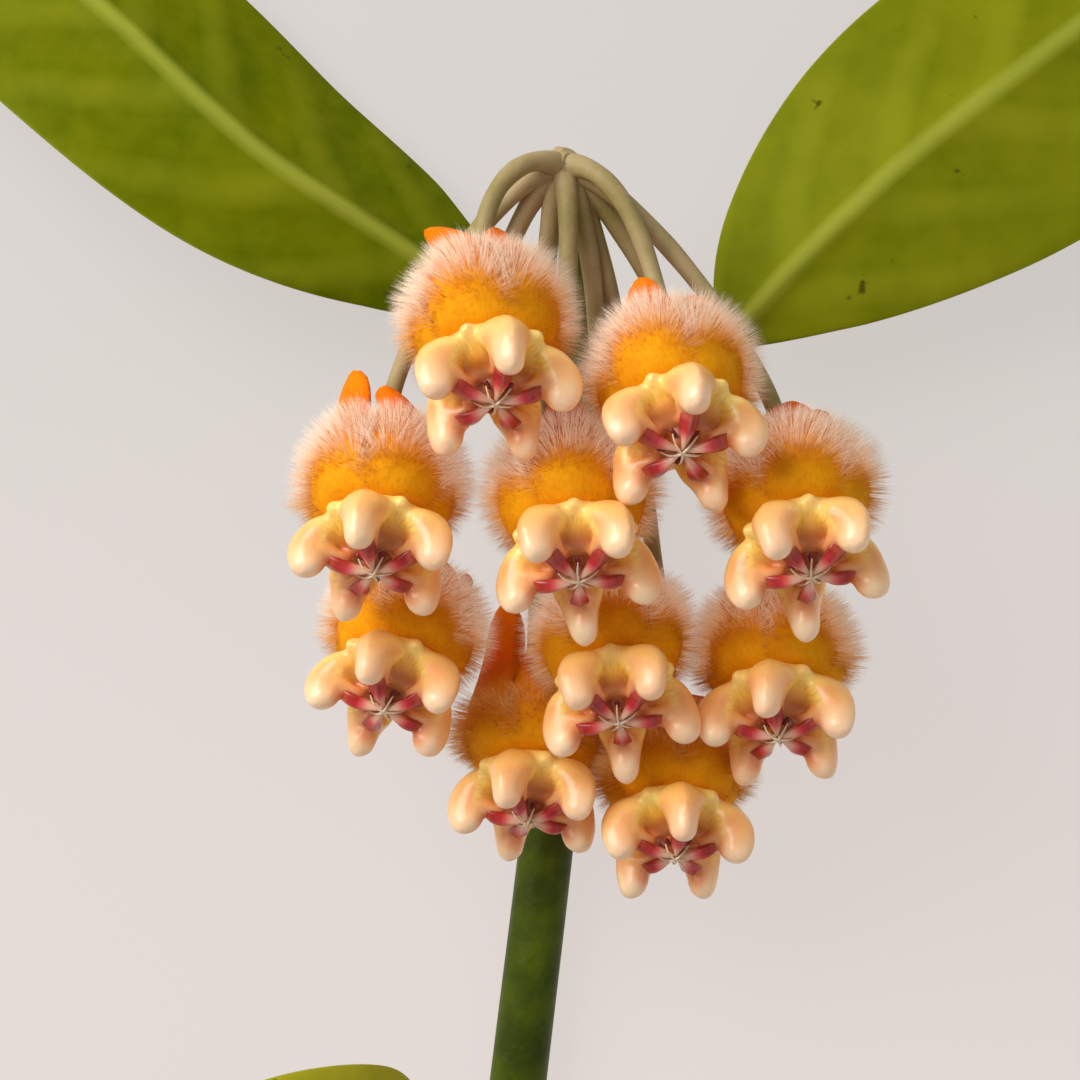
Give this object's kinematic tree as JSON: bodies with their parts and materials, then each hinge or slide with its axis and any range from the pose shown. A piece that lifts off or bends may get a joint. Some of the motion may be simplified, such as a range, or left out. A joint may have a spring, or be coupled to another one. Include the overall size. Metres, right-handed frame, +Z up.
{
  "type": "hoya lasiantha",
  "caption": "Cut shoot of a climbing wax plant: a green stem with opposite leaves and an umbel of hairy orange blooms with cream crowns, lying flat.",
  "frame": {"origin": "middle of the shoot's footprint, on the surface it lies on", "axes": "+Z up from that surface, towards the faces of the blooms; +Y along the stem from its cut end to its tip; +X to the right of it, seen from above"},
  "size_m": [0.1996, 0.2121, 0.0549],
  "materials": {
    "stem": "smooth green bark, satin",
    "leaf": "thick waxy leaf, satin, with a paler midrib",
    "pedicel": "smooth olive tan flower stalk, satin",
    "corolla": "velvety orange petal under long pale hairs",
    "crown": "fleshy cream wax, glossy",
    "heart": "waxy magenta, glossy"
  },
  "bodies": {
    "root": {"stem": "stem", "peduncle": "stem", "pedicels": "pedicel", "leaf_upper_left": "leaf", "leaf_upper_right": "leaf", "leaf_lower_left": "leaf", "leaf_lower_right": "leaf", "bloom_01_corolla": "corolla", "bloom_01_crown": "crown", "bloom_01_heart": "heart", "bloom_02_corolla": "corolla", "bloom_02_crown": "crown", "bloom_02_heart": "heart", "bloom_03_corolla": "corolla", "bloom_03_crown": "crown", "bloom_03_heart": "heart", "bloom_04_corolla": "corolla", "bloom_04_crown": "crown", "bloom_04_heart": "heart", "bloom_05_corolla": "corolla", "bloom_05_crown": "crown", "bloom_05_heart": "heart", "bloom_06_corolla": "corolla", "bloom_06_crown": "crown", "bloom_06_heart": "heart", "bloom_07_corolla": "corolla", "bloom_07_crown": "crown", "bloom_07_heart": "heart", "bloom_08_corolla": "corolla", "bloom_08_crown": "crown", "bloom_08_heart": "heart", "bloom_09_corolla": "corolla", "bloom_09_crown": "crown", "bloom_09_heart": "heart", "bloom_10_corolla": "corolla", "bloom_10_crown": "crown", "bloom_10_heart": "heart"}
  },
  "joints": []
}
